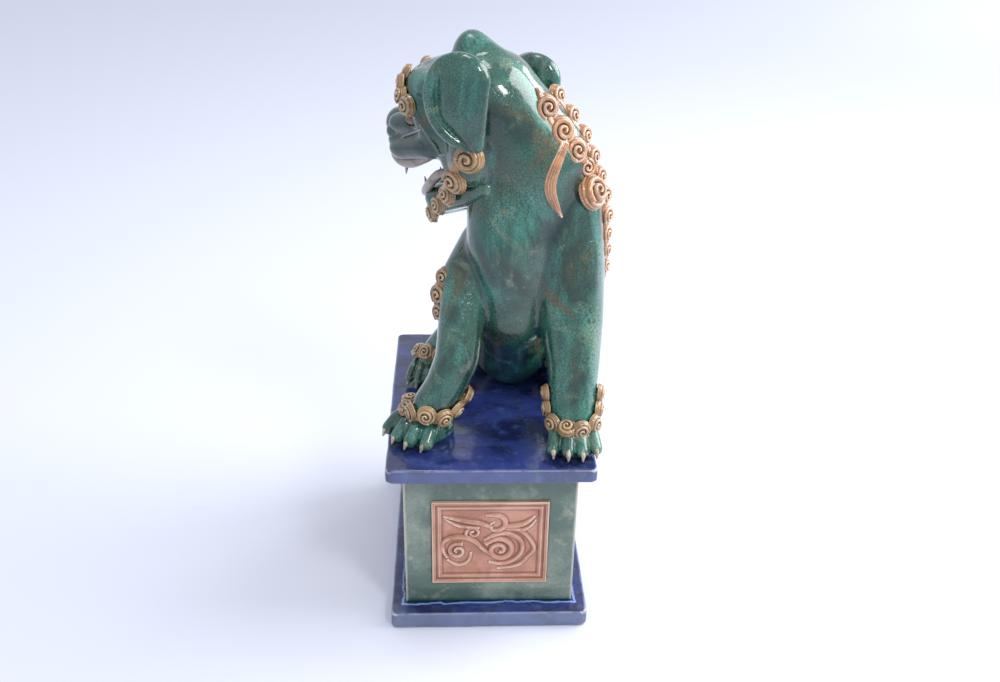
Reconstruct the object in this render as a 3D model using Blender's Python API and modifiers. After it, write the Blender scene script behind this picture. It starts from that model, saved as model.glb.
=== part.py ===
"""Glazed foo dog statue seated on a rectangular plinth.

Units are metres, +Z is up and the plinth stands on Z = 0, centred on the origin.
The lion's chest faces -Y, its head is turned to its own right, towards -X.
Shapes below are given in millimetres and scaled by MM as they are built.
"""

import math

import bmesh
import bpy
from mathutils import Matrix, Vector
from mathutils.bvhtree import BVHTree

MM = 0.001

# Driving sizes, in millimetres
PLINTH_WIDTH = 170.0
PLINTH_DEPTH = 233.0
TOP_SLAB_THICKNESS = 13.0
WALL_HEIGHT = 134.0
FOOT_THICKNESS = 15.6
SLAB_CORNER = 5.0
WALL_INSET_SIDE = 13.5
WALL_INSET_FRONT = 15.8
WALL_THICKNESS = 8.0
FOOT_RIM = 26.0
PANEL_SHARE = 0.68
PANEL_HEIGHT = 84.0
PANEL_THICKNESS = 5.0
PANEL_PROUD = 2.2
VENT_DIAMETER = 30.0
GLAZE_GAP = 0.3
SHELL_THICKNESS = 8.0
MANE_HEIGHT = 4.4

SLAB_TOP = FOOT_THICKNESS + WALL_HEIGHT + TOP_SLAB_THICKNESS + 2 * GLAZE_GAP
BODY_WIDTH = PLINTH_WIDTH - 2 * WALL_INSET_SIDE
BODY_DEPTH = PLINTH_DEPTH - 2 * WALL_INSET_FRONT

# The head's own frame: origin between the ears, then forward, to its left, and up
HEAD_ORIGIN = Vector((8.0, -18.0, 432.0))
HEAD_TURN = math.radians(28)
HEAD_FORWARD = Vector((-math.cos(HEAD_TURN), math.sin(HEAD_TURN), 0.0))
HEAD_LEFT = Vector((-math.sin(HEAD_TURN), -math.cos(HEAD_TURN), 0.0))
HEAD_UP = Vector((0.0, 0.0, 1.0))

TEAL = (0.03, 0.17, 0.12)
TEAL_PALE = (0.13, 0.27, 0.20)
OCHRE = (0.55, 0.32, 0.10)
ORANGE = (0.60, 0.27, 0.12)
CREAM = (0.62, 0.48, 0.38)
COBALT = (0.02, 0.035, 0.22)
TERRACOTTA = (0.62, 0.30, 0.17)
GREEN = (0.14, 0.25, 0.17)
BROWN = (0.10, 0.04, 0.02)

for old in list(bpy.data.objects):
    bpy.data.objects.remove(old)

PARTS = bpy.data.collections.new("Foo dog statue")
GUIDES = bpy.data.collections.new("Construction")
GUIDES.hide_render = True
bpy.context.scene.collection.children.link(PARTS)
bpy.context.scene.collection.children.link(GUIDES)


def glaze(name, colour, roughness):
    material = bpy.data.materials.new(name)
    material.use_nodes = True
    shader = material.node_tree.nodes["Principled BSDF"]
    shader.inputs["Base Color"].default_value = (*colour, 1.0)
    shader.inputs["Roughness"].default_value = roughness
    shader.inputs["Metallic"].default_value = 0.0
    material.diffuse_color = (*colour, 1.0)
    return material


def add_guide(name, mesh):
    guide = bpy.data.objects.new(name, mesh)
    GUIDES.objects.link(guide)
    guide.hide_render = True
    guide.display_type = "WIRE"
    return guide


def drop(guide):
    bpy.data.objects.remove(guide)


def settled(guide):
    """The mesh that the guide's modifiers make, with its triangles kept."""
    bpy.context.view_layer.update()
    graph = bpy.context.evaluated_depsgraph_get()
    mesh = bpy.data.meshes.new_from_object(guide.evaluated_get(graph))
    drop(guide)
    return mesh


def add_part(name, mesh, colour, roughness=0.12):
    mesh.materials.clear()
    mesh.materials.append(glaze(name + "_glaze", colour, roughness))
    part = bpy.data.objects.new(name, mesh)
    PARTS.objects.link(part)
    return part


def mesh_of(bm, name):
    bmesh.ops.recalc_face_normals(bm, faces=bm.faces)
    mesh = bpy.data.meshes.new(name)
    bm.to_mesh(mesh)
    bm.free()
    return mesh


def boolean(mesh, cutter, operation):
    """The first mesh joined to, cut by or cut down to the second one."""
    guide = add_guide("work", mesh)
    other = add_guide("tool", cutter)
    modifier = guide.modifiers.new("join", "BOOLEAN")
    modifier.operation = operation
    modifier.solver = "EXACT"
    modifier.object = other
    made = settled(guide)
    drop(other)
    return made


def grown(mesh, distance):
    """A copy of the mesh with its surface moved outwards by so many millimetres."""
    guide = add_guide("grow", mesh.copy())
    modifier = guide.modifiers.new("offset", "DISPLACE")
    modifier.strength = distance * MM
    modifier.mid_level = 0.0
    return settled(guide)


def seated(mesh, neighbours, gap=0.45):
    """The mesh with a seat cut in it for each neighbour, one glaze gap clear of it."""
    for neighbour in neighbours:
        mesh = boolean(mesh, grown(neighbour, gap), "DIFFERENCE")
    return mesh


def box_mesh(low, high, corner=0.0):
    """A block between two opposite corners, its upright edges rounded when corner is set."""
    bm = bmesh.new()
    bmesh.ops.create_cube(bm, size=1.0)
    low = Vector(low) * MM
    high = Vector(high) * MM
    size = high - low
    place = Matrix.Translation((low + high) / 2) @ Matrix.Diagonal((*size, 1.0))
    bmesh.ops.transform(bm, matrix=place, verts=bm.verts)
    if corner:
        upright = [e for e in bm.edges if abs((e.verts[0].co - e.verts[1].co).z) > size.z / 2]
        bmesh.ops.bevel(bm, geom=upright, offset=corner * MM, segments=4, profile=0.5, affect="EDGES")
        rim = [e for e in bm.edges if abs(e.verts[0].co.z - e.verts[1].co.z) < size.z / 9]
        rim = [e for e in rim if e.is_manifold and e.calc_face_angle(0) > 1]
        bmesh.ops.bevel(bm, geom=rim, offset=0.3 * corner * MM, segments=1, affect="EDGES")
    return mesh_of(bm, "block")


def ellipsoid_points(centre, radii, turn, around=14, rings=8):
    """Points of an ellipsoid; the turn is in degrees about X, Y and Z."""
    rotation = Matrix.Rotation(math.radians(turn[2]), 4, "Z")
    rotation = rotation @ Matrix.Rotation(math.radians(turn[1]), 4, "Y")
    rotation = rotation @ Matrix.Rotation(math.radians(turn[0]), 4, "X")
    centre = Vector(centre)
    points = []
    for ring in range(rings + 1):
        tilt = math.pi * ring / rings
        count = around if 0 < ring < rings else 1
        for step in range(count):
            angle = 2 * math.pi * step / count
            unit = Vector((math.sin(tilt) * math.cos(angle), math.sin(tilt) * math.sin(angle), math.cos(tilt)))
            local = Vector((unit.x * radii[0], unit.y * radii[1], unit.z * radii[2]))
            points.append((centre + rotation @ local) * MM)
    return points


def add_hull(bm, points):
    hull = bmesh.new()
    for point in points:
        hull.verts.new(point)
    made = bmesh.ops.convex_hull(hull, input=hull.verts)
    inside = [v for v in made["geom_interior"] + made["geom_unused"] if isinstance(v, bmesh.types.BMVert)]
    bmesh.ops.delete(hull, geom=list(set(inside)), context="VERTS")
    bmesh.ops.recalc_face_normals(hull, faces=hull.faces)
    mesh = bpy.data.meshes.new("hull")
    hull.to_mesh(mesh)
    hull.free()
    bm.from_mesh(mesh)
    bpy.data.meshes.remove(mesh)


def ball(x, y, z, radii, turn=(0, 0, 0)):
    """One lump of clay: where its centre is, its radii and its turn."""
    if not isinstance(radii, tuple):
        radii = (radii, radii, radii)
    return ((x, y, z), radii, turn)


def head_ball(f, l, u, radii, turn=(0, 0, 0)):
    """A lump placed in the head's frame; its own X axis points forward."""
    centre = HEAD_ORIGIN + f * HEAD_FORWARD + l * HEAD_LEFT + u * HEAD_UP
    if not isinstance(radii, tuple):
        radii = (radii, radii, radii)
    facing = 180 - math.degrees(HEAD_TURN)
    return (tuple(centre), radii, (turn[0], turn[1], turn[2] + facing))


def blended(bm, voxel, smooth, faces):
    """The lumps in the mesh taken as one skin of about so many triangles."""
    guide = add_guide("clay", mesh_of(bm, "clay"))
    remesh = guide.modifiers.new("blend", "REMESH")
    remesh.mode = "VOXEL"
    remesh.voxel_size = voxel * MM
    soften = guide.modifiers.new("soften", "SMOOTH")
    soften.factor = 0.5
    soften.iterations = smooth
    mesh = settled(guide)
    guide = add_guide("clay", mesh)
    triangles = sum(len(p.vertices) - 2 for p in mesh.polygons)
    thin = guide.modifiers.new("thin", "DECIMATE")
    thin.ratio = min(1.0, faces / triangles)
    thin.use_collapse_triangulate = True
    return settled(guide)


def clay(chains, voxel, smooth, faces):
    """Lumps run together in chains, then blended."""
    bm = bmesh.new()
    for chain in chains:
        links = list(zip(chain, chain[1:])) or [(chain[0],)]
        for link in links:
            points = []
            for centre, radii, turn in link:
                points += ellipsoid_points(centre, radii, turn)
            add_hull(bm, points)
    return blended(bm, voxel, smooth, faces)


def above(mesh, height):
    """The mesh with everything under this height taken off flat."""
    low = (-400, -400, height - 400)
    high = (400, 400, height)
    return boolean(mesh, box_mesh(low, high), "DIFFERENCE")


# ---------------------------------------------------------------- plinth

foot_half = (PLINTH_WIDTH / 2 - 0.8, PLINTH_DEPTH / 2)
foot = box_mesh((-foot_half[0], -foot_half[1], 0), (*foot_half, FOOT_THICKNESS), SLAB_CORNER)
opening = box_mesh(
    (-foot_half[0] + FOOT_RIM, -foot_half[1] + FOOT_RIM, -5),
    (foot_half[0] - FOOT_RIM, foot_half[1] - FOOT_RIM, FOOT_THICKNESS + 5),
    SLAB_CORNER,
)
add_part("plinth_foot", boolean(foot, opening, "DIFFERENCE"), COBALT)

wall_low = FOOT_THICKNESS + GLAZE_GAP
wall_high = wall_low + WALL_HEIGHT
panel_mid = wall_low + WALL_HEIGHT * 0.48


def panel_mesh(width, height, thickness):
    """A relief tile standing in XZ with its picture towards -Y, centred on the origin."""
    half = width / 2
    tall = height / 2
    tile = box_mesh((-half, 0, -tall), (half, thickness, tall))
    for inset, depth in ((4.0, 0.9), (8.0, 1.8)):
        field = box_mesh((-half + inset, -2, -tall + inset), (half - inset, depth, tall - inset))
        tile = boolean(tile, field, "DIFFERENCE")
    strokes = (
        ((-0.36, 0.27), (-0.20, 0.20), (-0.04, 0.29), (0.08, 0.16), (0.22, 0.22), (0.38, 0.31)),
        ((-0.38, -0.02), (-0.28, 0.07), (-0.18, 0.00), (-0.24, -0.10), (-0.36, -0.14), (-0.20, -0.20)),
        ((0.34, 0.05), (0.38, -0.10), (0.26, -0.20), (0.10, -0.16), (0.06, -0.03), (0.16, 0.05), (0.24, -0.03)),
    )
    for stroke in strokes:
        lumps = [ball(x * width, 1.9, z * height, (2.6, 1.5, 2.6)) for x, z in stroke]
        tile = boolean(tile, clay([lumps], 0.9, 1, 56), "UNION")
    return tile


def turned(mesh, degrees, place):
    matrix = Matrix.Translation(Vector(place) * MM) @ Matrix.Rotation(math.radians(degrees), 4, "Z")
    mesh.transform(matrix)
    mesh.update()
    return mesh


half_x = BODY_WIDTH / 2
half_y = BODY_DEPTH / 2
side_half = half_y - WALL_THICKNESS - GLAZE_GAP
walls = (
    ("front", 0, (0, -half_y), half_x, BODY_WIDTH),
    ("right_side", 90, (half_x, 0), side_half, BODY_DEPTH),
    ("back", 180, (0, half_y), half_x, BODY_WIDTH),
    ("left_side", 270, (-half_x, 0), side_half, BODY_DEPTH),
)
for side, turn, place, half, face in walls:
    panel_half = face * PANEL_SHARE / 2
    tall = PANEL_HEIGHT / 2
    wall = box_mesh((-half, 0, -WALL_HEIGHT / 2), (half, WALL_THICKNESS, WALL_HEIGHT / 2))
    seat_depth = PANEL_THICKNESS - PANEL_PROUD + GLAZE_GAP
    centre = panel_mid - wall_low - WALL_HEIGHT / 2
    seat = box_mesh(
        (-panel_half - GLAZE_GAP, -3, centre - tall - GLAZE_GAP),
        (panel_half + GLAZE_GAP, seat_depth, centre + tall + GLAZE_GAP),
    )
    wall = boolean(wall, seat, "DIFFERENCE")
    turned(wall, turn, (*place, wall_low + WALL_HEIGHT / 2))
    add_part("plinth_wall_" + side, wall, GREEN)
    panel = panel_mesh(2 * panel_half, PANEL_HEIGHT, PANEL_THICKNESS)
    outward = Matrix.Rotation(math.radians(turn), 4, "Z") @ Vector((0, -PANEL_PROUD, 0))
    turned(panel, turn, (place[0] + outward.x, place[1] + outward.y, panel_mid))
    add_part("relief_panel_" + side, panel, TERRACOTTA)

slab_low = wall_high + GLAZE_GAP
slab_half = (PLINTH_WIDTH / 2, PLINTH_DEPTH / 2)
slab = box_mesh((-slab_half[0], -slab_half[1], slab_low), (*slab_half, SLAB_TOP), SLAB_CORNER)
vent = bmesh.new()
bmesh.ops.create_cone(
    vent, cap_ends=True, segments=24, radius1=VENT_DIAMETER / 2 * MM, radius2=VENT_DIAMETER / 2 * MM,
    depth=60 * MM, matrix=Matrix.Translation(Vector((28, 62, SLAB_TOP)) * MM),
)
add_part("plinth_top_slab", boolean(slab, mesh_of(vent, "vent"), "DIFFERENCE"), COBALT)

# ---------------------------------------------------------------- body

stand = SLAB_TOP + GLAZE_GAP

torso_lumps = [
    [ball(31, 66, 202, (42, 41, 46)), ball(30, 34, 245, (40, 44, 46)), ball(30, -4, 300, (46, 46, 48)),
     ball(37, -2, 342, (54, 47, 42)), ball(29, -8, 385, (47, 46, 40)), ball(13, -12, 412, (36, 40, 33))],
    [ball(14, -26, 308, (33, 34, 46)), ball(18, -14, 252, (29, 33, 40)), ball(21, 34, 196, (34, 34, 38))],
    [ball(12, 66, 196, (34, 34, 36))],
    [ball(52, 56, 196, (34, 34, 36))],
]
torso = clay(torso_lumps, 6.0, 5, 1000)
torso = above(torso, stand)
torso_solid = torso.copy()

leg_lumps = {
    "right_fore": [ball(-3, -3, 308, 23), ball(-20, -25, 290, 20), ball(-24, -46, 258, 19),
                   ball(-27, -57, 232, 18.5), ball(-37, -61, 208, 17), ball(-48, -64, 192, 16.5)],
    "left_fore": [ball(58, -2, 318, 32), ball(63, -20, 285, 28), ball(66, -42, 250, 22),
                  ball(67, -58, 220, 20), ball(67, -68, 195, 18.5), ball(67, -72, 186, 18)],
    "right_hind": [ball(8, 64, 212, (30, 34, 32)), ball(-14, 46, 210, (22, 24, 22)), ball(-38, 37, 193, 16),
                   ball(-50, 34, 180, 14)],
    "left_hind": [ball(54, 54, 212, (30, 34, 32)), ball(62, 28, 210, (22, 24, 22)), ball(68, 24, 193, 16),
                  ball(70, 19, 180, 14)],
}
def paw_mesh(x, y, heading, length, width, faces, clawed):
    """A paw with four toes, its heading in degrees from -Y towards -X."""
    ahead = Vector((-math.sin(math.radians(heading)), -math.cos(math.radians(heading)), 0))
    across = Vector((-ahead.y, ahead.x, 0))
    centre = Vector((x, y, SLAB_TOP))
    heel = centre - ahead * length * 0.16
    lumps = [[ball(heel.x, heel.y, SLAB_TOP + 10, (width * 0.46, width * 0.46, 15))]]
    for toe in range(4):
        side = (toe - 1.5) / 1.5
        reach = length * (0.5 - 0.09 * side * side)
        knuckle = centre + ahead * (reach - 16) + across * side * width * 0.33
        tip = centre + ahead * (reach - 7) + across * side * width * 0.38
        lumps.append([
            ball(knuckle.x, knuckle.y, SLAB_TOP + 13, width * 0.135),
            ball(tip.x, tip.y, SLAB_TOP + 7, width * 0.12),
        ])
        if clawed:
            nail = tip + ahead * (width * 0.12 + 2)
            lumps.append([ball(tip.x, tip.y, SLAB_TOP + 7, 2.6), ball(nail.x, nail.y, SLAB_TOP + 5, 1.6)])
    return above(clay(lumps, 1.8, 1, faces), stand)


def claw_meshes(x, y, heading, length, width):
    """Four hooked claws, one let into the front of each toe."""
    ahead = Vector((-math.sin(math.radians(heading)), -math.cos(math.radians(heading)), 0))
    across = Vector((-ahead.y, ahead.x, 0))
    made = []
    for toe in range(4):
        side = (toe - 1.5) / 1.5
        reach = length * (0.5 - 0.09 * side * side)
        tip = Vector((x, y, SLAB_TOP)) + ahead * (reach - 4) + across * side * width * 0.38
        hook = ((tip + Vector((0, 0, 9)), 2.4), (tip + ahead * 3 + Vector((0, 0, 7)), 2.1),
                (tip + ahead * 5 + Vector((0, 0, 3)), 0.8))
        made.append(strand(hook, 0.7, 28))
    return made


def strand(stations, voxel, faces):
    """Round stations, each a place and a radius, drawn out into one tapering length."""
    return clay([[ball(*place, radius) for place, radius in stations]], voxel, 1, faces)


CURL_PROFILE = ((1.0, -0.6), (1.0, 0.45), (0.8, 0.9), (0.5, 0.55), (0.28, 1.05))
CURL_SIDES = 10


def curl(centre, normal, radius, height):
    """A flat roll of clay with a raised middle, its face turned along the normal."""
    bm = bmesh.new()
    loops = []
    for share, lift in CURL_PROFILE:
        ring = []
        for step in range(CURL_SIDES):
            angle = 2 * math.pi * step / CURL_SIDES
            ring.append(bm.verts.new((share * radius * math.cos(angle), share * radius * math.sin(angle), lift * height)))
        loops.append(ring)
    for low, high in zip(loops, loops[1:]):
        for step in range(CURL_SIDES):
            after = (step + 1) % CURL_SIDES
            bm.faces.new((low[step], low[after], high[after], high[step]))
    bm.faces.new(loops[0])
    bm.faces.new(loops[-1])
    place = Matrix.Translation(centre) @ Vector(normal).to_track_quat("Z", "Y").to_matrix().to_4x4()
    bmesh.ops.transform(bm, matrix=Matrix.Scale(MM, 4) @ place, verts=bm.verts)
    return mesh_of(bm, "curl")


class Skin:
    """The surface of several clay pieces together, to set curls on."""

    def __init__(self, meshes):
        bm = bmesh.new()
        for mesh in meshes:
            bm.from_mesh(mesh)
        self.tree = BVHTree.FromBMesh(bm)
        bm.free()

    def near(self, place):
        point, normal, index, distance = self.tree.find_nearest(Vector(place) * MM)
        return point / MM, normal


def curl_chain(skin, places, height=4.5, tail=(), leave=0.0, each=54):
    """Curls pressed on along a line and run together into one strip, not yet bedded."""
    bm = bmesh.new()
    stations = []
    for x, y, z, radius in places:
        point, normal = skin.near((x, y, z))
        point = point + normal * leave
        disc = curl(point, normal, radius, height)
        bm.from_mesh(disc)
        bpy.data.meshes.remove(disc)
        stations.append((point + normal * height * 0.1, min(radius * 0.55, height * 0.8)))
    for x, y, z, radius in tail:
        point, normal = skin.near((x, y, z))
        stations.append((point + normal * radius * 0.4, radius))
    for pair in zip(stations, stations[1:]):
        points = []
        for place, radius in pair:
            points += ellipsoid_points(place, (radius, radius, radius), (0, 0, 0), 10, 6)
        add_hull(bm, points)
    return blended(bm, 1.3, 1, each * len(places) + 40 * len(tail))


paw_sets = (
    ("right_fore", (-58.5, -64, 38, 54, 52), 330),
    ("left_fore", (67, -84, 0, 48, 46), 330),
    ("right_hind", (-54, 27, 14, 50, 34), 220),
    ("left_hind", (71, 8, 6, 48, 32), 220),
)
legs = {}
paws = {}
for key, spot, faces in paw_sets:
    fore = key.endswith("fore")
    leg = clay([leg_lumps[key]], 4.0, 4, faces)
    legs[key] = leg
    paws[key] = paw_mesh(*spot, faces, not fore)
    add_part(key + "_leg", above(seated(leg.copy(), [torso_solid]), stand), TEAL)
    add_part(key + "_paw", seated(paws[key].copy(), [leg, torso_solid]), TEAL)
    if fore:
        for number, claw in enumerate(claw_meshes(*spot), 1):
            seat = [paws[key]]
            add_part(f"{key}_claw_{number}", above(seated(claw, seat), stand), CREAM)

# ---------------------------------------------------------------- head

def head_point(f, l, u):
    return HEAD_ORIGIN + f * HEAD_FORWARD + l * HEAD_LEFT + u * HEAD_UP


cranium = [
    [head_ball(14, 0, 0, (42, 42, 38)), head_ball(42, 0, 2, (28, 32, 28))],
    [head_ball(60, 15, 7, (15, 14, 12)), head_ball(60, -15, 7, (15, 14, 12))],
    [head_ball(42, 0, -22, (24, 28, 22)), head_ball(80, 0, -32, (12, 16, 14))],
    [head_ball(76, 12, -44, (17, 12, 12)), head_ball(52, 20, -36, (16, 13, 11))],
    [head_ball(76, -12, -44, (17, 12, 12)), head_ball(52, -20, -36, (16, 13, 11))],
    [head_ball(16, 24, -10, 20), head_ball(10, 26, -48, 16)],
    [head_ball(16, -24, -10, 20), head_ball(10, -26, -48, 16)],
]
head_solid = clay(cranium, 4.5, 3, 800)
mouth = clay([[head_ball(38, 0, -64, (16, 22, 10)), head_ball(110, 0, -78, (20, 34, 18))]], 4.0, 2, 200)
head_shape = boolean(head_solid.copy(), mouth, "DIFFERENCE")

cavity_lumps = [
    [ball(x, y, z, tuple(r - SHELL_THICKNESS for r in radii)) for (x, y, z), radii, turn in torso_lumps[0]],
    [ball(31, 66, 196, 24), ball(31, 66, 140, 22)],
    [ball(14, -12, 412, 22), head_ball(12, 0, -2, (22, 22, 20))],
]
cavity = clay(cavity_lumps, 6.0, 3, 360)
head = seated(boolean(head_shape.copy(), cavity, "DIFFERENCE"), [torso_solid])
add_part("torso", boolean(torso, cavity, "DIFFERENCE"), TEAL)
add_part("head", head, TEAL)

jaw = clay([
    [head_ball(10, 22, -66, 13), head_ball(50, 5, -84, (13, 12, 12))],
    [head_ball(10, -22, -66, 13), head_ball(50, -5, -84, (13, 12, 12))],
    [head_ball(10, 0, -74, (14, 22, 9)), head_ball(54, 0, -92, (12, 13, 9))],
], 3.5, 2, 320)
add_part("lower_jaw", seated(jaw.copy(), [head_shape, torso_solid]), TEAL)

crown = clay([[head_ball(27, 0, 30, (15, 17, 20)), head_ball(2, 0, 24, (10, 15, 12))]], 4.0, 3, 200)
add_part("crown_bump", seated(crown.copy(), [head_shape, torso_solid]), TEAL)

nose = clay([
    [head_ball(90, 0, -27, (10, 12, 10)), head_ball(80, 0, -20, (8, 9, 7))],
    [head_ball(88, 10, -32, (8, 7, 7))],
    [head_ball(88, -10, -32, (8, 7, 7))],
], 2.5, 2, 160)
add_part("nose", seated(nose.copy(), [head_shape]), TEAL)

mouth_line = {
    "upper": ((30, 27, -46, 3.6), (42, 24, -41, 4.2), (56, 22, -49, 4.6), (74, 17, -56, 4.8), (88, 9, -55, 4.6)),
    "lower": ((28, 28, -54, 3.4), (40, 22, -64, 3.8), (52, 15, -72, 4.0), (62, 7, -80, 4.0), (64, 0, -82, 4.0)),
}
lips = {}
for name, half_line in mouth_line.items():
    left = [(head_point(f, l, u), r) for f, l, u, r in half_line]
    right = [(head_point(f, -l, u), r) for f, l, u, r in half_line if l]
    lips[name] = strand(left + right[::-1], 1.6, 200)
add_part("upper_lip", seated(lips["upper"].copy(), [head_shape, jaw, nose, torso_solid]), CREAM)
lower_seats = [head_shape, jaw, nose, torso_solid, lips["upper"]]
add_part("lower_lip", seated(lips["lower"].copy(), lower_seats), CREAM)

laid = []
for side, sign in (("left", 1), ("right", -1)):
    fangs = (
        ("upper", ((76, 16, -56, 2.4), (77, 16, -66, 0.6))),
        ("lower", ((60, 12, -76, 2.3), (62, 13, -66, 0.6))),
    )
    for name, (base, tip) in fangs:
        stations = [(head_point(f, sign * l, u), r) for f, l, u, r in (base, tip)]
        fang = seated(strand(stations, 0.6, 26), [lips["upper"], lips["lower"], head_shape, jaw])
        add_part(f"{name}_{side}_fang", fang, CREAM)
    eye = clay([[head_ball(66, sign * 21, -18, (6, 6, 5.5))]], 1.6, 1, 60)
    add_part(side + "_eye", seated(eye, [head_shape]), BROWN)
    ear = clay([
        [head_ball(12, sign * 50, 26, (21, 10, 19)), head_ball(10, sign * 52, 5, (19, 9, 18)),
         head_ball(1, sign * 50, -19, (6, 5, 7))],
        [head_ball(20, sign * 55, 40, 5), head_ball(32, sign * 56, 22, 5), head_ball(32, sign * 57, 4, 5),
         head_ball(18, sign * 56, -12, 4.5), head_ball(3, sign * 53, -22, 4)],
    ], 3.0, 2, 260)
    if side == "right":
        ear.transform(Matrix.Translation((HEAD_FORWARD * -12 + HEAD_UP * -19) * MM))
    add_part(side + "_ear", seated(ear.copy(), [head_shape, torso_solid, crown]), TEAL)
    laid.append(ear)

# ---------------------------------------------------------------- applied curls

body_skin = Skin([torso_solid, head_shape, jaw, *legs.values()])
body_seats = [torso_solid, head_shape, jaw, *legs.values()]

STRAND = (
    (52, -36, 406, 5.0), (44, -47, 391, 5.4), (41, -50, 377, 5.2), (45, -48, 363, 4.4), (51, -45, 354, 2.4),
)
mane = {
    "mane_neck_curls": (
        [(33, -29, 440, 6), (37, -29, 429, 9.2), (48, -27, 417, 9.4), (61, -29, 399, 9.4)],
        [(30, -27, 447, 3.5)],
    ),
    "mane_side_curls": (
        [(51, 4, 424, 8), (60, -1, 410, 8), (68, -4, 397, 8), (75, -5, 383, 8), (82, -3, 368, 8),
         (88, 0, 352, 8), (90, 0, 337, 8), (90, 0, 322, 8), (90, -1, 308, 8), (90, -4, 294, 7)],
        [],
    ),
    "mane_shoulder_curl": ([(73, -28, 362, 12.5)], []),
    "mane_back_curls": (
        [(46, 30, 412, 9), (50, 36, 396, 9), (52, 40, 379, 9), (52, 42, 362, 9), (50, 44, 345, 9),
         (47, 46, 328, 8.5), (44, 48, 312, 8)],
        [],
    ),
    "mane_far_curls": (
        [(24, 32, 428, 8), (18, 36, 412, 9), (15, 38, 395, 9), (13, 39, 378, 9), (12, 40, 361, 9)],
        [],
    ),
}
for name, (places, tail) in mane.items():
    lock = curl_chain(body_skin, places, MANE_HEIGHT, tail)
    add_part(name, seated(lock.copy(), body_seats + laid), ORANGE)
    laid.append(lock)
stations = []
for x, y, z, radius in STRAND:
    point, normal = body_skin.near((x, y, z))
    stations.append((point + normal * radius * 0.2, radius))
add_part("mane_strand", seated(strand(stations, 1.8, 130), body_seats + laid), ORANGE)

for side, sign in (("left", 1), ("right", -1)):
    brow = [head_point(f, sign * l, u) for f, l, u in ((70, 18, 19), (74, 20, 11), (73, 23, 3), (66, 28, -4))]
    places = [(*p, r) for p, r in zip(brow, (5.5, 5.5, 5.5, 7.5))]
    add_part(side + "_brow_curls", seated(curl_chain(body_skin, places, 4.5, leave=1.0), [head_shape]), OCHRE)
    cheek = [head_point(f, sign * l, u) for f, l, u in (
        (6, 44, -34), (22, 34, -55), (33, 30, -71), (43, 24, -83), (54, 14, -96))]
    places = [(*p, r) for p, r in zip(cheek, (11.5, 10, 8.5, 8, 8))]
    beard = curl_chain(body_skin, places, 5.5)
    seats = [torso_solid, head_shape, jaw, lips["lower"], *laid]
    add_part(side + "_cheek_curls", seated(beard.copy(), seats), OCHRE)
    laid.append(beard)

ankles = {
    "right_fore": [(-66, -50, 189, 6), (-68, -60, 187, 6.5), (-62, -70, 190, 6.5), (-51, -78, 193, 6.5),
                   (-39, -77, 190, 6.5), (-30, -70, 194, 6.5), (-24, -62, 203, 6.5)],
    "left_fore": [(49, -64, 204, 6), (48, -70, 193, 6), (51, -82, 186, 6.5), (61, -89, 185, 6.5),
                  (72, -89, 185, 6.5), (83, -83, 186, 6.5), (86, -73, 194, 6), (86, -66, 205, 6)],
    "right_hind": [(-63, 44, 184, 5.5), (-60, 33, 189, 6), (-52, 27, 191, 6), (-42, 26, 191, 6)],
    "left_hind": [(58, 12, 190, 5.5), (65, 7, 189, 6), (75, 7, 189, 6), (83, 14, 189, 5.5)],
}
for key, places in ankles.items():
    skin = Skin([legs[key], paws[key]])
    seats = [legs[key], paws[key], torso_solid]
    add_part(key + "_ankle_curls", seated(curl_chain(skin, places, 4.5), seats), OCHRE)
elbows = {
    "right": [(-38, -26, 292, 7), (-42, -30, 280, 7), (-43, -36, 267, 7), (-42, -40, 254, 6)],
    "left": [(86, 8, 262, 7), (84, -2, 252, 7), (84, -12, 241, 7), (84, -22, 230, 6)],
}
for side, places in elbows.items():
    leg = legs[side + "_fore"]
    tuft = curl_chain(Skin([leg]), places, 5.5)
    add_part(side + "_elbow_curls", seated(tuft.copy(), [leg, torso_solid, *laid]), OCHRE)

tail = clay([
    [ball(31, 98, 184, (13, 11, 14)), ball(33, 101, 212, (15, 10, 16)), ball(36, 90, 240, (17, 10, 18)),
     ball(38, 72, 268, (12, 9, 15)), ball(40, 56, 290, (5, 6, 8))],
], 4.0, 2, 320)
tail = above(tail, stand)
add_part("tail", seated(tail.copy(), [torso_solid, *laid, *legs.values()]), TEAL)
tail_places = [(14, 104, 196, 7), (17, 107, 209, 8), (20, 104, 223, 8), (23, 98, 237, 8), (26, 88, 250, 7)]
tail_seats = [torso_solid, tail, *laid, *legs.values()]
tuft = curl_chain(Skin([tail, torso_solid]), tail_places, 5.0)
add_part("tail_curls", seated(tuft, tail_seats), OCHRE)
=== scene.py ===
"""A glazed foo dog statue on its plinth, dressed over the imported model."""

import math

import bpy
import numpy as np
from mathutils import Matrix, Vector
from mathutils.kdtree import KDTree


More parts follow.
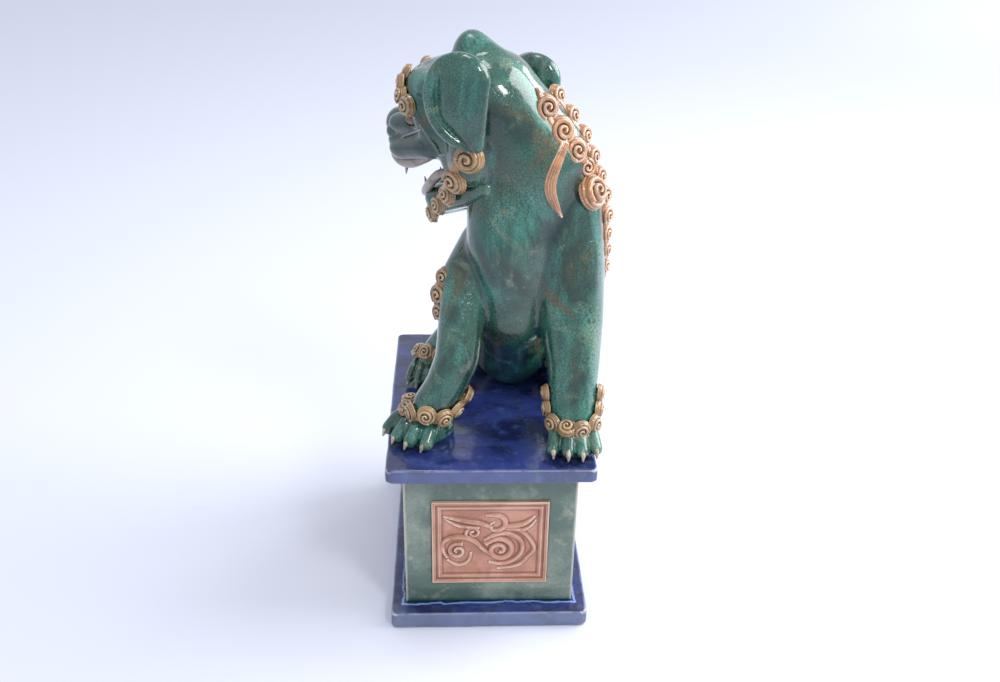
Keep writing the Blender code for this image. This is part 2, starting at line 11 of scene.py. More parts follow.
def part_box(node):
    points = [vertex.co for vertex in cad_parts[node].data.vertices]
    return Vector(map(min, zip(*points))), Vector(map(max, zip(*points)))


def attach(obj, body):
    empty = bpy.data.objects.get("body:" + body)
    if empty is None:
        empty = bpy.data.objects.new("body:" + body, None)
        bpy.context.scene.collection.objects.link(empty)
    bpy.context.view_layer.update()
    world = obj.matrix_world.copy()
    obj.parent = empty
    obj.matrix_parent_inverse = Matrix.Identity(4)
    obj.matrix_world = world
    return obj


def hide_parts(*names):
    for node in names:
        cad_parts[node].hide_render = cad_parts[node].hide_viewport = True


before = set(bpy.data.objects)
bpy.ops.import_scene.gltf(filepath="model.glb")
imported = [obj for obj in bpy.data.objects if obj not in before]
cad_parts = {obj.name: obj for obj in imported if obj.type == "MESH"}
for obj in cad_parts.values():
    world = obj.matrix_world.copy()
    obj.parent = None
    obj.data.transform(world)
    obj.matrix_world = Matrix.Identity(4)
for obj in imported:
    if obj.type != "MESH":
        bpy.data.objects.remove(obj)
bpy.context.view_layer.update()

# -------------------------------------------------------- camera
# The camera looks down at the statue from in front, a little to its right side,
# and takes in the whole plinth with clear floor all round.
bpy.ops.object.select_all(action="DESELECT")
bpy.ops.object.camera_add(location=(-0.0284, -0.7968, 0.6453))
camera = bpy.context.object
camera.name = "studio_camera"
camera.rotation_mode = "QUATERNION"
pitch = math.radians(28.22)
yaw = math.radians(2.74)
roll = math.radians(1.19)
view = Vector((math.sin(yaw) * math.cos(pitch), math.cos(yaw) * math.cos(pitch), -math.sin(pitch)))
level = Vector((math.cos(yaw), -math.sin(yaw), 0))
upright = level.cross(view)
right = level * math.cos(roll) + upright * math.sin(roll)
above = upright * math.cos(roll) - level * math.sin(roll)
camera.rotation_quaternion = Matrix((right, above, -view)).transposed().to_quaternion()
camera.data.sensor_width = 36
camera.data.lens = 37.8
camera.data.clip_start = 0.01
bpy.context.scene.camera = camera

# -------------------------------------------------------- light and floor
# A pale seamless studio floor. A big window on the statue's left lights it from the
# side, small ones stand in front and overhead, a far one brightens the floor behind,
# and the room itself is a cool white.
bpy.context.scene.view_settings.view_transform = "Standard"
room = bpy.data.worlds.new("room")
bpy.context.scene.world = room
room.use_nodes = True
air = room.node_tree.nodes["Background"].inputs
air["Color"].default_value = (0.86, 0.90, 1.0, 1.0)
air["Strength"].default_value = 0.92
STATUE = (0.02, 0, 0.30)
FLOOR_BEHIND = (1.2, 2.2, 0)
lights = (
    ("window_side", (1.35, 0.15, 1.15), STATUE, 1.1, 1.4, 30.0),
    ("window_front", (0.62, -1.00, 1.45), STATUE, 0.26, 0.36, 7.0),
    ("window_top", (-0.15, 0.25, 1.9), STATUE, 0.4, 0.5, 4.0),
    ("window_far", (2.6, 2.4, 1.6), FLOOR_BEHIND, 1.2, 1.2, 30.0),
)
for name, place, aim, wide, tall, watts in lights:
    bpy.ops.object.light_add(type="AREA", location=place)
    lamp = bpy.context.object
    lamp.name = name
    lamp.data.shape = "RECTANGLE"
    lamp.data.size = wide
    lamp.data.size_y = tall
    lamp.data.energy = watts
    lamp.rotation_mode = "QUATERNION"
    lamp.rotation_quaternion = (Vector(aim) - Vector(place)).to_track_quat("-Z", "Y")
bpy.ops.object.select_all(action="DESELECT")
bpy.ops.mesh.primitive_plane_add(size=14, location=(0, 0, 0))
floor = bpy.context.object
floor.name = "studio_floor"
paper = bpy.data.materials.new("studio_paper")
paper.use_nodes = True
sheet = paper.node_tree.nodes["Principled BSDF"].inputs
sheet["Base Color"].default_value = (0.69, 0.71, 0.79, 1.0)
sheet["Roughness"].default_value = 0.7
sheet["Specular IOR Level"].default_value = 0.2
floor.data.materials.append(paper)

# -------------------------------------------------------- plinth slabs
# Two thick slabs of rolled clay, one on the ground and one under the lion, with soft
# hand-worn corners. Both are dipped in a cobalt glaze that runs thin and pale on the
# edges and mottles on the flats.


class Wire:
    """A number flowing through a material; arithmetic on it adds Math nodes."""

    def __init__(self, tree, socket):
        self.tree = tree
        self.socket = socket

    def combine(self, operation, first, second):
        node = self.tree.nodes.new("ShaderNodeMath")
        node.operation = operation
        for slot, value in zip(node.inputs, (first, second)):
            if isinstance(value, Wire):
                self.tree.links.new(value.socket, slot)
            else:
                slot.default_value = value
        return Wire(self.tree, node.outputs[0])

    def __add__(self, other):
        return self.combine("ADD", self, other)

    def __radd__(self, other):
        return self.combine("ADD", other, self)

    def __sub__(self, other):
        return self.combine("SUBTRACT", self, other)

    def __rsub__(self, other):
        return self.combine("SUBTRACT", other, self)

    def __mul__(self, other):
        return self.combine("MULTIPLY", self, other)

    def __rmul__(self, other):
        return self.combine("MULTIPLY", other, self)


class Glaze:
    """A fired glaze: a material whose nodes are added one at a time."""

    def __init__(self, name, roughness, coat):
        self.material = bpy.data.materials.new(name)
        self.material.use_nodes = True
        self.tree = self.material.node_tree
        self.shader = self.tree.nodes["Principled BSDF"]
        self.shader.inputs["Coat Weight"].default_value = coat
        self.shader.inputs["Coat Roughness"].default_value = 0.04
        self.shader.inputs["Roughness"].default_value = roughness
        self.place = self.node("ShaderNodeTexCoord", "Object")

    def node(self, kind, output, settings=None, inputs=None):
        """A node of a kind, its settings made first and then its inputs, as one output."""
        made = self.tree.nodes.new(kind)
        for key, value in (settings or {}).items():
            setattr(made, key, value)
        for key, value in (inputs or {}).items():
            if isinstance(value, Wire):
                self.tree.links.new(value.socket, made.inputs[key])
            else:
                made.inputs[key].default_value = value
        return Wire(self.tree, made.outputs[output])

    def noise(self, scale, detail=3.0, roughness=0.55, warp=0.0, stretch=None):
        """Cloudy noise from 0 to 1, with about as many clouds to a metre as the scale."""
        where = self.place
        if stretch:
            where = self.node("ShaderNodeMapping", 0, {}, {"Vector": where, "Scale": stretch})
        inputs = {"Vector": where, "Scale": scale, "Detail": detail}
        inputs.update({"Roughness": roughness, "Distortion": warp})
        return self.node("ShaderNodeTexNoise", "Fac", {}, inputs)

    def band(self, value, low, high):
        """0 under the low value and 1 over the high one, eased between them."""
        settings = {"interpolation_type": "SMOOTHSTEP"}
        inputs = {"Value": value, "From Min": low, "From Max": high}
        return self.node("ShaderNodeMapRange", "Result", settings, inputs)

    def blend(self, first, second, factor):
        """One colour laid over another by a factor."""
        inputs = {0: factor}
        for slot, shade in ((6, first), (7, second)):
            inputs[slot] = shade if isinstance(shade, Wire) else (*shade, 1.0)
        return self.node("ShaderNodeMix", 2, {"data_type": "RGBA"}, inputs)

    def ridges(self, low, high):
        """1 on edges that stand out, where a glaze runs thin, and 0 in hollows."""
        point = self.node("ShaderNodeAttribute", "Fac", {"attribute_name": "break"})
        return self.band(point, low, high)

    def crazing(self, cell, width):
        """Fine crackle lines: 1 on a line and 0 between."""
        inputs = {"Vector": self.place, "Scale": 60.0, "Detail": 2.0}
        wander = self.node("ShaderNodeTexNoise", "Color", {}, inputs)
        sway = 0.004
        inputs = {0: sway, 4: self.place, 5: wander}
        bent = self.node("ShaderNodeMix", 1, {"data_type": "VECTOR"}, inputs)
        settings = {"feature": "DISTANCE_TO_EDGE"}
        inputs = {"Vector": bent, "Scale": 1 / cell}
        gap = self.node("ShaderNodeTexVoronoi", "Distance", settings, inputs)
        return 1 - self.band(gap, 0.0, width)

    def apart(self, place):
        """How far each point is from a place, in metres."""
        inputs = {0: self.place, 1: place}
        return self.node("ShaderNodeVectorMath", "Value", {"operation": "DISTANCE"}, inputs)

    def axis(self, letter):
        """Each point's place along one axis, in metres."""
        return self.node("ShaderNodeSeparateXYZ", letter, {}, {"Vector": self.place})

    def size_of(self, value):
        """The value without its sign."""
        return self.node("ShaderNodeMath", 0, {"operation": "ABSOLUTE"}, {0: value})

    def larger(self, first, second):
        """The larger of two values."""
        return self.node("ShaderNodeMath", 0, {"operation": "MAXIMUM"}, {0: first, 1: second})

    def feed(self, name, value):
        """Wires a value into one of the shader's own sockets."""
        if isinstance(value, Wire):
            self.tree.links.new(value.socket, self.shader.inputs[name])
        else:
            self.shader.inputs[name].default_value = value

    def relief(self, height, distance):
        """Bumps the surface by a height that reaches the distance, in metres, at 1."""
        inputs = {"Height": height, "Distance": distance, "Strength": 1.0}
        self.feed("Normal", self.node("ShaderNodeBump", "Normal", {}, inputs))


WALL_SIDE = max(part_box("plinth_wall_right_side")[1].x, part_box("plinth_wall_left_side")[1].x)
WALL_END = max(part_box("plinth_wall_back")[1].y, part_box("plinth_wall_front")[1].y)
SLAB_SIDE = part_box("plinth_top_slab")[1].x
SLAB_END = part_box("plinth_top_slab")[1].y


def cobalt_glaze():
    glaze = Glaze("cobalt_glaze", 0.16, 0.5)
    cloud = glaze.noise(22.0, 5.0, 0.6, 0.6, (1, 1.6, 1))
    fleck = glaze.noise(90.0, 4.0, 0.65, 0.3)
    deep = glaze.blend((0.010, 0.014, 0.060), (0.026, 0.043, 0.185), glaze.band(cloud, 0.38, 0.62))
    washed = glaze.blend(deep, (0.105, 0.135, 0.270), glaze.band(fleck, 0.52, 0.78) * 0.5)
    murky = glaze.band(glaze.noise(14.0, 4.0, 0.6, 1.0, (1, 1.5, 1)), 0.54, 0.70)
    teal = glaze.blend(washed, (0.075, 0.105, 0.125), murky * 0.6)
    worn = glaze.ridges(0.70, 0.95) * glaze.band(glaze.noise(110.0, 3.0), 0.30, 0.55)
    across = glaze.axis("X")
    along = glaze.axis("Y")
    high = glaze.axis("Z")
    upright = glaze.larger(
        glaze.band(glaze.size_of(along), SLAB_END - 0.0020, SLAB_END - 0.0005),
        glaze.band(glaze.size_of(across), SLAB_SIDE - 0.0025, SLAB_SIDE - 0.0010),
    )
    run_thin = upright * (0.55 - 0.35 * glaze.band(high, 0.05, 0.06)) * (0.45 + 0.9 * cloud)
    thinned = glaze.blend(teal, (0.24, 0.29, 0.44), run_thin)
    edged = glaze.blend(thinned, (0.60, 0.58, 0.55), worn * 0.75)
    outside = glaze.larger(glaze.size_of(across) - WALL_SIDE, glaze.size_of(along) - WALL_END)
    ragged = outside + 0.011 * glaze.noise(30.0, 3.0, 0.6, 0.8) - 0.003
    foot = 1 - glaze.band(high, 0.05, 0.06)
    glaze_pool_and_painted_shade = glaze.band(ragged, 0.0040, 0.0048) * (1 - glaze.band(ragged, 0.0052, 0.0070)) * foot
    pooled = glaze.blend(edged, (0.26, 0.40, 0.85), glaze_pool_and_painted_shade * 0.85)
    drip = (1 - glaze.band(ragged, 0.0036, 0.0044)) * foot
    glaze.feed("Base Color", glaze.blend(pooled, (0.006, 0.035, 0.045), drip * 0.9))
    glaze.feed("Roughness", 0.10 + 0.16 * fleck)
    glaze.relief(glaze.noise(26.0, 3.0) + 0.25 * fleck, 0.0012)
    return glaze.material


def stand_alone():
    """Clears the selection, so that the next operator acts only on what it makes."""
    if bpy.context.object and bpy.context.object.mode != "OBJECT":
        bpy.ops.object.mode_set(mode="OBJECT")
    bpy.ops.object.select_all(action="DESELECT")


def choose(*pieces):
    stand_alone()
    for piece in pieces:
        piece.select_set(True)
    bpy.context.view_layer.objects.active = pieces[0]


def label(piece, name):
    piece.name = name
    piece.data.name = name
    return piece


def twin(piece, name):
    """A copy of a piece, under another name."""
    choose(piece)
    bpy.ops.object.duplicate()
    return label(bpy.context.object, name)


def finish_modifier(piece, kind, **settings):
    """Adds a modifier, sets it and applies it."""
    choose(piece)
    bpy.ops.object.modifier_add(type=kind)
    modifier = piece.modifiers[-1]
    for key, value in settings.items():
        setattr(modifier, key, value)
    bpy.ops.object.modifier_apply(modifier=modifier.name)


def knead(piece, grain, rounds):
    """Melts a piece's lumps into one closed skin, with a grain in millimetres, and strokes
    it smooth."""
    finish_modifier(piece, "REMESH", mode="VOXEL", voxel_size=grain * 0.001, adaptivity=0)
    finish_modifier(piece, "SMOOTH", factor=0.5, iterations=rounds)
    return piece


def mark_breaks(piece, rounds, reach):
    """Stores how far each point stands out of the piece's own softened shape, reach
    being in millimetres: 0 in a hollow, 0.5 on a flat and 1 on an edge."""
    soft = twin(piece, "soft")
    finish_modifier(soft, "SMOOTH", factor=0.5, iterations=rounds)
    sharp = np.empty((len(piece.data.vertices), 3), np.float32)
    dull = np.empty_like(sharp)
    facing = np.empty_like(sharp)
    piece.data.vertices.foreach_get("co", sharp.ravel())
    soft.data.vertices.foreach_get("co", dull.ravel())
    soft.data.vertices.foreach_get("normal", facing.ravel())
    bpy.data.objects.remove(soft, do_unlink=True)
    proud = ((sharp - dull) * facing).sum(axis=1)
    layer = piece.data.attributes.new("break", "FLOAT", "POINT")
    layer.data.foreach_set("value", np.clip(0.5 + proud / (0.002 * reach), 0, 1))


def copy_of(node, name):
    """A merged copy of a CAD node, to be worked on as a new piece."""
    piece = twin(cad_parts[node], name)
    bpy.ops.object.mode_set(mode="EDIT")
    bpy.ops.mesh.select_all(action="SELECT")
    bpy.ops.mesh.remove_doubles(threshold=0.00002)
    bpy.ops.mesh.tris_convert_to_quads(face_threshold=0.02, shape_threshold=3.1)
    bpy.ops.mesh.dissolve_limited(angle_limit=math.radians(1))
    bpy.ops.object.mode_set(mode="OBJECT")
    return piece


def dress(piece, material, slot, *nodes):
    """Gives a finished piece its glaze and its place on the statue."""
    piece.data.materials.clear()
    piece.data.materials.append(material)
    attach(piece, "root")
    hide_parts(*nodes)


cobalt = cobalt_glaze()
for node in ("plinth_foot", "plinth_top_slab"):
    slab = copy_of(node, node + "_glazed")
    knead(slab, 1.2, 2)
    mark_breaks(slab, 3, 0.12)
    finish_modifier(slab, "DECIMATE", ratio=0.3)
    waves = bpy.data.textures.new(node + "_hand", "CLOUDS")
    waves.noise_scale = 0.05
    finish_modifier(
        slab, "DISPLACE", texture=waves, texture_coords="LOCAL", strength=0.0016, mid_level=0.5
    )
    choose(slab)
    bpy.ops.object.shade_smooth()
    dress(slab, cobalt, "cobalt_glaze", node)

# -------------------------------------------------------- plinth walls
# Four flat slabs of clay joined at the corners into a box. Their green glaze is thin
# and milky, worn pale down the corners and dark where it has run down to the foot.


def wall_glaze():
    glaze = Glaze("green_glaze", 0.2, 0.4)
    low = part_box("plinth_wall_front")[0].z
    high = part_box("plinth_wall_front")[1].z
    height = glaze.axis("Z")
    cloud = glaze.noise(16.0, 5.0, 0.6, 0.5)
    fleck = glaze.noise(70.0, 4.0, 0.6)
    base = glaze.blend((0.085, 0.140, 0.105), (0.230, 0.285, 0.225), glaze.band(cloud, 0.38, 0.62))
    milky = glaze.blend(base, (0.42, 0.40, 0.32), glaze.band(fleck, 0.52, 0.75) * 0.5)
    pooled = 1 - glaze.band(height + 0.004 * cloud, low + 0.002, low + 0.007)
    run = glaze.blend(milky, (0.025, 0.075, 0.06), pooled)
    # Painted shade: the top of each wall, under the overhanging top slab, is darkened.
    top = glaze.band(height + 0.012 * cloud, high - 0.022, high)
    shade = glaze.blend(run, (0.10, 0.12, 0.09), top * 0.45)
    across = glaze.axis("X")
    along = glaze.axis("Y")
    side = glaze.size_of(across) - WALL_SIDE + 0.0016 * glaze.noise(60.0)
    end = glaze.size_of(along) - WALL_END + 0.0016 * glaze.noise(50.0)
    worn = glaze.band(side, -0.0016, 0.0002) * glaze.band(end, -0.0016, 0.0002)
    lines = glaze.crazing(0.0042, 0.10)
    crackled = glaze.blend(shade, (0.05, 0.10, 0.08), lines * 0.28)
    glaze.feed("Base Color", glaze.blend(crackled, (0.55, 0.50, 0.42), worn * 0.8))
    glaze.feed("Roughness", 0.14 + 0.15 * fleck)
    glaze.relief(glaze.noise(30.0, 3.0) + 0.2 * fleck - 0.1 * lines, 0.0009)
    return glaze.material


milky_green = wall_glaze()
for side in ("front", "right_side", "back", "left_side"):
    wall = copy_of("plinth_wall_" + side, f"plinth_wall_{side}_glazed")
    finish_modifier(
        wall, "BEVEL", width=0.0006, segments=3, limit_method="ANGLE", angle_limit=math.radians(40)
    )
    choose(wall)
    bpy.ops.object.shade_smooth_by_angle(angle=math.radians(35))
    dress(wall, milky_green, "green_glaze", "plinth_wall_" + side)

# -------------------------------------------------------- relief panels
# A tile of clay let into each wall. It was pressed in a carved mould, so a stepped frame
# and a low pattern of curling clouds stand out of it, under a terracotta-brown glaze.


def roll(name, stations):
    """A tapered coil of clay along stations of (place, half thickness) in millimetres."""
    stand_alone()
    line = bpy.data.curves.new(name, "CURVE")
    line.dimensions = "3D"
    line.bevel_depth = 0.001
    line.bevel_resolution = 4
    line.use_fill_caps = True
    spline = line.splines.new("NURBS")
    spline.points.add(len(stations) - 1)
    for point, (place, half) in zip(spline.points, stations):
        point.co = (*[0.001 * value for value in place], 1)
        point.radius = half
    spline.use_endpoint_u = True
    spline.order_u = 3
    spline.resolution_u = 6
    piece = bpy.data.objects.new(name, line)
    bpy.context.collection.objects.link(piece)
    choose(piece)
    bpy.ops.object.convert(target="MESH")
    return bpy.context.object


def gather(name, pieces):
    """Joins loose pieces into one object."""
    choose(*pieces)
    if len(pieces) > 1:
        bpy.ops.object.join()
    return label(bpy.context.object, name)


def polish(piece, degrees=40):
    choose(piece)
    bpy.ops.object.shade_smooth_by_angle(angle=math.radians(degrees))


def fire(piece, rounds, reach, material, slot, node, degrees=40):
    """Marks a kneaded piece's edges, smooths its shading and gives it its glaze."""
    mark_breaks(piece, rounds, reach)
    polish(piece, degrees)
    dress(piece, material, slot, node)


def swirl(across, up, reach, turns, start, half, hand=1):
    """A spiral in the tile's face, wound inwards from its reach, all in millimetres."""
    line = []
    steps = round(turns * 10)
    for step in range(steps + 1):
        share = step / steps
        angle = math.radians(start) + hand * share * turns * math.tau
        away = reach * (1 - 0.86 * share)
        spot = (across + away * math.cos(angle), up + away * math.sin(angle))
        line.append((*spot, half * (1 - 0.25 * share)))
    return line


# Lines of the pattern as (across, up, half thickness), in millimetres from the middle
CLOUDS = [
    [(-39, 27, 0.7), (-30, 25, 1.5), (-18, 22, 1.9), (-6, 20, 1.8), (2, 15, 1.2)],
    [(-38, 25, 0.6), (-30, 18, 1.2), (-18, 16, 1.4), (-9, 15, 1.0)],
    [(37, 27, 0.7), (31, 20, 1.6), (20, 17, 1.9), (11, 17, 1.4)],
    [(38, 23, 0.5), (33, 14, 1.1), (22, 12, 1.2), (12, 14, 0.8)],
    [(-4, 28, 0.9), (5, 29, 1.6), (12, 25, 1.9), (13, 17, 1.7), (7, 12, 1.4), (0, 13, 1.1),
     (-1, 19, 0.9), (4, 21, 0.7)],
    swirl(-14, 10, 6.5, 1.4, 200, 1.2, -1),
    [(-36, -16, 1.0), (-41, -6, 1.3), (-38, 3, 1.5), (-30, 6, 1.8), (-20, 6, 1.9), (-12, 1, 1.8),
     (-6, -7, 1.5), (2, -14, 1.2), (9, -19, 0.9)],
    swirl(-27, -9, 8.5, 1.5, 60, 1.4, 1),
    [(-36, -18, 0.9), (-30, -24, 1.2), (-21, -23, 1.2), (-16, -17, 1.1), (-16, -10, 0.9)],
    swirl(8, -8, 13.5, 1.7, 150, 1.9, -1),
    [(-5, 2, 1.1), (4, 9, 1.5), (16, 10, 1.7), (26, 3, 1.7), (28, -9, 1.6), (21, -19, 1.5),
     (10, -24, 1.3), (-1, -21, 1.0)],
    [(13, 15, 0.8), (22, 15, 1.3), (29, 9, 1.4), (35, 1, 1.5), (38, -8, 1.4), (32, -15, 1.4),
     (28, -22, 1.3), (18, -27, 1.2), (6, -28, 0.9)],
]


# The frame from the outside in, as (width, depth of the step), in millimetres
FRAME_STEPS = ((2.6, 0), (0.8, 1.3), (1.6, 0), (0.7, -0.9), (1.8, 0), (1.2, 1.7))
FRAME_WIDTH = 18  # both sides of the frame together
CLOUDS_FOR = 97  # the width of tile that the pattern was drawn for
LINE_PROUD = 0.25
LINE_FATNESS = 1.45


def relief_tile(node, turn):
    """A pressed tile over the CAD tile's own box, its face towards the way it is turned."""
    low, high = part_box(node)
    middle = (Vector(low) + Vector(high)) / 2
    spread = Vector(high) - Vector(low)
    wide = max(spread.x, spread.y) * 1000
    deep = min(spread.x, spread.y) * 1000
    tall = spread.z * 1000
    stand_alone()
    bpy.ops.mesh.primitive_cube_add(size=1, scale=(wide / 1000, deep / 1000, tall / 1000))
    tile = bpy.context.object
    bpy.ops.object.transform_apply()
    bpy.ops.object.mode_set(mode="EDIT")
    bpy.ops.mesh.select_all(action="DESELECT")
    bpy.ops.object.mode_set(mode="OBJECT")
    for face in tile.data.polygons:
        face.select = face.normal.y < -0.9
    bpy.ops.object.mode_set(mode="EDIT")
    for rim, sink in FRAME_STEPS:
        bpy.ops.mesh.inset(thickness=rim / 1000, depth=0)
        if sink:
            bpy.ops.transform.translate(value=(0, sink / 1000, 0))
    bpy.ops.object.mode_set(mode="OBJECT")
    field = -deep / 2 + sum(sink for _, sink in FRAME_STEPS)
    stretch = (wide - FRAME_WIDTH) / (CLOUDS_FOR - FRAME_WIDTH)
    lines = []
    for line in CLOUDS:
        path = [((x * stretch, field - LINE_PROUD, z), LINE_FATNESS * half) for x, z, half in line]
        lines.append(roll("line", path))
    tile = gather(node + "_glazed", [tile, *lines])
    knead(tile, 0.5, 2)
    mark_breaks(tile, 12, 0.17)
    finish_modifier(tile, "DECIMATE", ratio=0.22)
    choose(tile)
    tile.matrix_world = Matrix.Translation(middle) @ Matrix.Rotation(math.radians(turn), 4, "Z")
    bpy.ops.object.transform_apply()
    polish(tile, 50)
    return tile


def terracotta_glaze():
    glaze = Glaze("terracotta_glaze", 0.2, 0.4)
    cloud = glaze.noise(30.0, 4.0, 0.6, 0.6)
    grit = glaze.noise(280.0, 4.0, 0.65)
    body = glaze.blend((0.42, 0.170, 0.095), (0.60, 0.290, 0.195), glaze.band(cloud, 0.36, 0.64))
    pooled = glaze.blend(body, (0.16, 0.045, 0.014), (1 - glaze.ridges(0.10, 0.49)) * 0.95)
    lit = glaze.blend(pooled, (0.76, 0.60, 0.45), glaze.ridges(0.58, 0.85) * 0.85)
    glaze.feed(
        "Base Color", glaze.blend(lit, (0.26, 0.15, 0.10), glaze.band(grit, 0.56, 0.75) * 0.35)
    )
    glaze.feed("Roughness", 0.16 + 0.18 * grit)
    glaze.relief(grit, 0.0003)
    return glaze.material


terracotta = terracotta_glaze()
for side in ("front", "right_side", "back", "left_side"):
    node = "relief_panel_" + side
    low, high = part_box(node)
    outward = (Vector(low) + Vector(high)) / 2
    if abs(outward.x) > abs(outward.y):
        turn = 90 if outward.x > 0 else 270
    else:
        turn = 0 if outward.y < 0 else 180
    dress(relief_tile(node, turn), terracotta, "terracotta_glaze", node)

# -------------------------------------------------------- lion's skin
# The trunk, legs and head are hand-built in stoneware from lumps and coils pressed
# together and smoothed into one skin, then covered in a thick, crackled teal glaze.
# It is worked here as one piece of clay and cut at the shoulders, hips and neck.
HEAD_MIDDLE = Vector((8, -18, 432))
HEAD_ROUND = math.radians(152)
HEAD_AXES = Matrix.Rotation(HEAD_ROUND, 3, "Z")


def on_head(forward, left, up):
    """A place measured from the middle of the head along the way it faces."""
    return HEAD_MIDDLE + HEAD_AXES @ Vector((forward, left, up))


def egg(place, size, turn=0.0):
    """One lump, with its place and half sizes in millimetres, added to the piece in hand."""
    half = [0.001 * value for value in (size if isinstance(size, tuple) else (size,) * 3)]
    spot = [0.001 * value for value in place]
    bpy.ops.mesh.primitive_ico_sphere_add(
        subdivisions=3, radius=1, location=spot, scale=half, rotation=(0, 0, turn)
    )


def press(name, runs):
    """Presses runs of lumps together, each run filled in between its neighbours.
    A lump is (x, y, z, size), and a run marked "head" is measured from the head."""
    stand_alone()
    bpy.ops.mesh.primitive_cube_add(size=0.001)
    piece = label(bpy.context.object, name)
    bpy.ops.object.mode_set(mode="EDIT")
    bpy.ops.mesh.delete(type="VERT")
    for run in runs:
        turn = 0.0
        if run[0] == "head":
            turn = HEAD_ROUND
            run = [(*on_head(*lump[:3]), lump[3]) for lump in run[1:]]
        for first, second in zip(run, run[1:] or run):
            egg(first[:3], first[3], turn)
            egg(second[:3], second[3], turn)
            bpy.ops.mesh.select_all(action="SELECT")
            bpy.ops.mesh.convex_hull()
            bpy.ops.mesh.select_all(action="SELECT")
            bpy.ops.mesh.hide()
    bpy.ops.mesh.reveal()
    bpy.ops.object.mode_set(mode="OBJECT")
    return piece


def carve(piece, cutter, operation="DIFFERENCE"):
    finish_modifier(piece, "BOOLEAN", object=cutter, operation=operation, solver="MANIFOLD")


def clear_away(*pieces):
    for piece in pieces:
        bpy.data.objects.remove(piece, do_unlink=True)


def tidy_bits(piece):
    """Drops crumbs of clay that a cut leaves loose, and keeps the largest body."""
    choose(piece)
    bpy.ops.object.mode_set(mode="EDIT")
    bpy.ops.mesh.select_all(action="SELECT")
    bpy.ops.mesh.separate(type="LOOSE")
    bpy.ops.object.mode_set(mode="OBJECT")
    bodies = sorted(bpy.context.selected_objects, key=lambda body: len(body.data.vertices))
    kept = bodies.pop()
    name = piece.name
    clear_away(*bodies)
    return label(kept, name)


def mirrored(run):
    """The same run on the other side of the head."""
    return ["head"] + [(forward, -left, up, size) for forward, left, up, size in run[1:]]


MUZZLE_MIDDLE = tuple(on_head(72, 0, -22) * 0.001)


def crackled_teal(name, thin=0.0):
    """The lion's own glaze, with painted shade laid round the muzzle; thin is how far it breaks
    pale over sharp edges."""
    glaze = Glaze(name, 0.12, 0.7)
    cloud = glaze.noise(13.0, 4.0, 0.55, 0.8)
    patch = glaze.noise(24.0, 5.0, 0.6, 1.2)
    speck = glaze.noise(160.0, 4.0, 0.7)
    streak = glaze.noise(26.0, 4.0, 0.6, 0.4, (1.6, 1.6, 0.45))
    deep = glaze.blend((0.004, 0.028, 0.019), (0.018, 0.108, 0.074), glaze.band(cloud, 0.40, 0.58))
    ran = glaze.blend(deep, (0.052, 0.225, 0.165), glaze.band(streak, 0.46, 0.66) * 0.9)
    milk = glaze.blend(ran, (0.200, 0.285, 0.180), glaze.band(patch, 0.55, 0.70) * 0.6)
    moss = glaze.band(glaze.noise(9.0, 3.0, 0.55, 0.5), 0.50, 0.66)
    olive = glaze.blend(milk, (0.048, 0.062, 0.026), moss * 0.5)
    rust = glaze.band(glaze.noise(19.0, 4.0, 0.6, 0.8), 0.57, 0.70)
    amber = glaze.blend(olive, (0.120, 0.078, 0.020), rust * (0.45 + 0.6 * speck))
    lines = glaze.crazing(0.0028, 0.11)
    faint = glaze.band(glaze.noise(9.0, 2.0), 0.30, 0.62)
    cracked = glaze.blend(amber, (0.001, 0.016, 0.015), lines * (0.38 + 0.50 * faint))
    # Painted shade: the glaze is darkened round the muzzle, where the face is in shadow.
    away = glaze.apart(MUZZLE_MIDDLE)
    glaze_pool_and_painted_shade = 1 - glaze.band(away + 0.012 * cloud, 0.036, 0.056)
    shade = glaze.blend(cracked, (0.006, 0.030, 0.026), glaze_pool_and_painted_shade * 0.75)
    if thin:
        shade = glaze.blend(shade, (0.36, 0.38, 0.30), glaze.ridges(0.60, 0.90) * thin)
    hollow = 1 - glaze.ridges(0.08, 0.42)
    shade = glaze.blend(shade, (0.004, 0.030, 0.028), hollow * 0.7)
    glaze.feed("Base Color", shade)
    glaze.feed("Roughness", 0.07 + 0.12 * speck)
    glaze.relief(0.8 * glaze.noise(38.0, 3.0) + 0.12 * speck - 0.05 * lines, 0.0010)
    return glaze.material


# Lumps of clay as (x, y, z, half size) in millimetres, each run filled in between them
TRUNK = [
    [(31, 66, 202, (42, 41, 46)), (30, 34, 245, (40, 44, 46)), (30, -4, 300, (46, 46, 48)),
     (37, -2, 342, (54, 47, 42)), (29, -8, 385, (47, 46, 40)), (13, -12, 412, (36, 40, 33))],
    [(18, -16, 378, (38, 33, 40)), (16, -26, 322, (36, 34, 46)), (18, -18, 262, (33, 34, 44)),
     (21, 32, 198, (34, 35, 38))],
    [(0, -13, 430, (39, 41, 36)), (29, -8, 385, (48, 46, 42))],
    [(12, 66, 196, (34, 34, 36))],
    [(52, 56, 196, (34, 34, 36))],
]
LEGS = {
    "right_fore": [
        (-3, -3, 308, 23), (-20, -25, 290, 20), (-24, -46, 258, 19), (-27, -57, 232, 18.5),
        (-37, -61, 208, 17), (-48, -64, 192, 16.5),
    ],
    "left_fore": [
        (55, -16, 340, (34, 32, 38)), (61, -27, 300, (31, 30, 32)), (65, -39, 262, (27, 26, 28)),
        (67, -52, 230, 22.5), (67, -63, 204, 20), (67, -71, 186, 19),
    ],
    "right_hind": [
        (8, 64, 212, (30, 34, 32)), (-14, 46, 210, (22, 24, 22)), (-38, 37, 193, 16),
        (-50, 34, 180, 14),
    ],
    "left_hind": [
        (54, 54, 212, (30, 34, 32)), (62, 28, 210, (22, 24, 22)), (68, 24, 193, 16),
        (70, 19, 180, 14),
    ],
}
